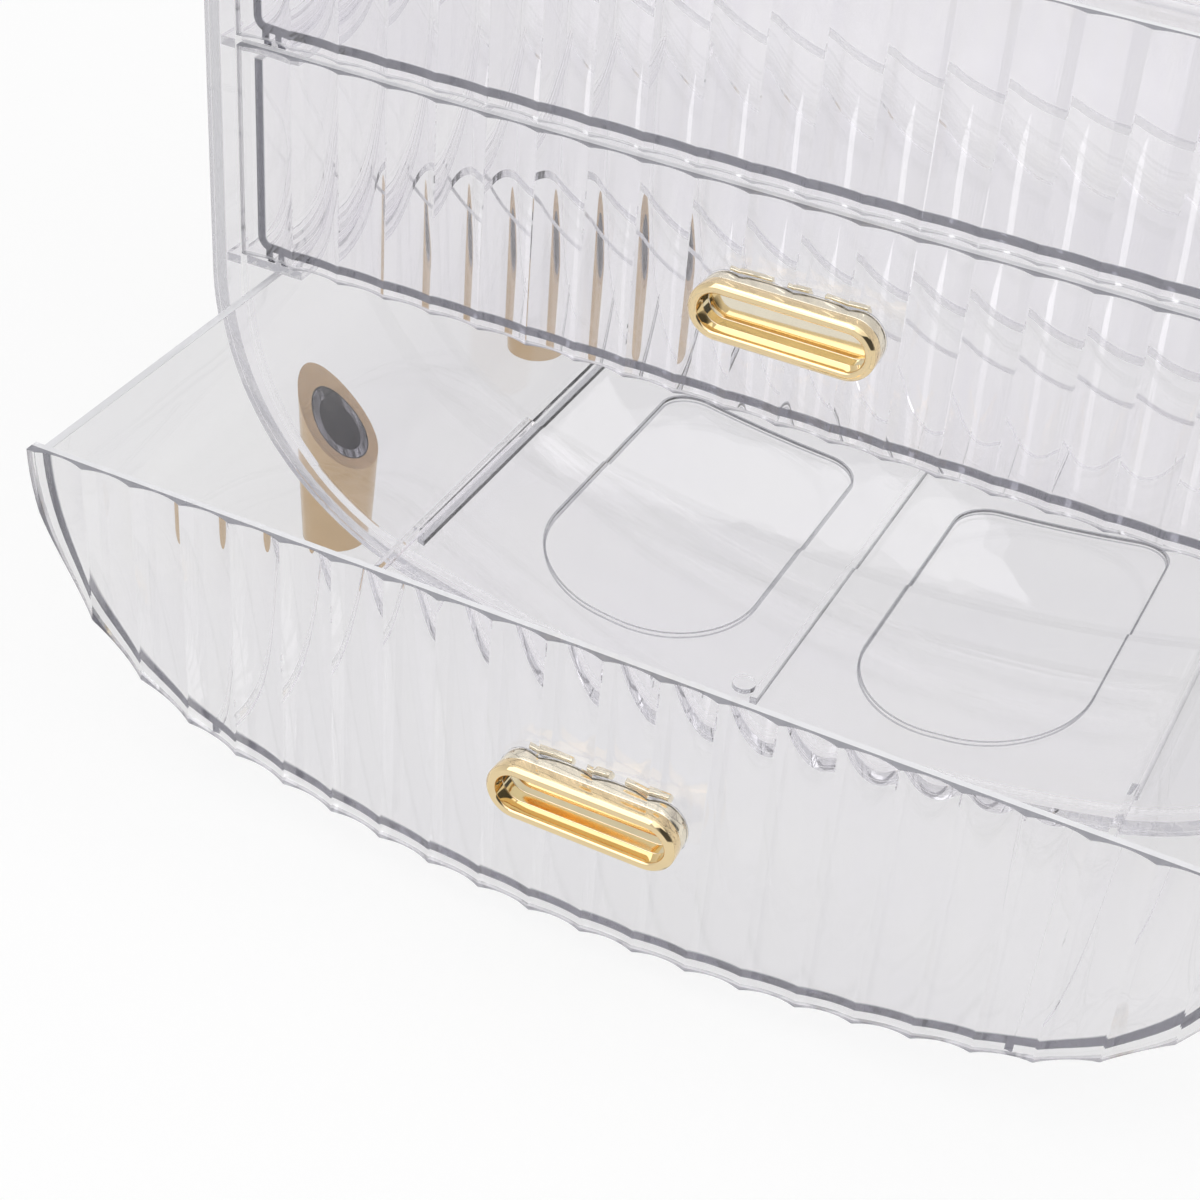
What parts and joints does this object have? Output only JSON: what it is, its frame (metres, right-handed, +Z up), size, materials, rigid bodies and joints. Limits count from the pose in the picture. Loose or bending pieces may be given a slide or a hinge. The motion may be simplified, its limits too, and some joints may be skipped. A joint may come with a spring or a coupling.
{
  "type": "desk organizer with drawers",
  "caption": "Clear fluted makeup organizer with a rounded bottom, sliding drawers with gold pulls, an open top tray and gold tube feet.",
  "frame": {"origin": "on the table under the middle of the outline as it stands with the bottom drawer drawn out", "axes": "+X to the right when looking at the fronts, +Y from the fronts to the back, +Z up"},
  "size_m": [0.32, 0.2664, 0.2205],
  "materials": {
    "clear_plastic": "clear moulded plastic, high gloss, edges read dark grey",
    "plug_plastic": "clear moulded tube, reads dark inside the gold foot",
    "foot_gold": "gold-coloured plating, satin gloss",
    "handle_gold": "gold-coloured plating, mirror gloss"
  },
  "bodies": {
    "case": {"case_shell": "clear_plastic", "back_panel": "clear_plastic", "front_frame": "clear_plastic", "lower_shelf": "clear_plastic", "upper_shelf": "clear_plastic", "foot_front_left": "foot_gold", "foot_front_right": "foot_gold", "foot_rear_left": "foot_gold", "foot_rear_right": "foot_gold", "foot_plug_front_left": "plug_plastic", "foot_plug_front_right": "plug_plastic", "foot_plug_rear_left": "plug_plastic", "foot_plug_rear_right": "plug_plastic"},
    "bottom_drawer": {"bottom_drawer_tray": "clear_plastic", "bottom_drawer_front": "clear_plastic", "bottom_handle_base": "handle_gold", "bottom_handle_ring": "handle_gold"},
    "middle_drawer": {"middle_drawer_tray": "clear_plastic", "middle_drawer_front": "clear_plastic", "middle_handle_base": "handle_gold", "middle_handle_ring": "handle_gold"},
    "top_tray_body": {"top_tray": "clear_plastic", "top_tray_front": "clear_plastic"}
  },
  "joints": [
    {"name": "bottom_drawer_slide", "type": "slide", "parent": "case", "child": "bottom_drawer", "axis": [0, -1, 0], "range_m": [-0.09, 0.02]},
    {"name": "middle_drawer_slide", "type": "slide", "parent": "case", "child": "middle_drawer", "axis": [0, -1, 0], "range_m": [0, 0.11]},
    {"name": "top_tray_slide", "type": "slide", "parent": "case", "child": "top_tray_body", "axis": [0, -1, 0], "range_m": [0, 0.11]}
  ]
}
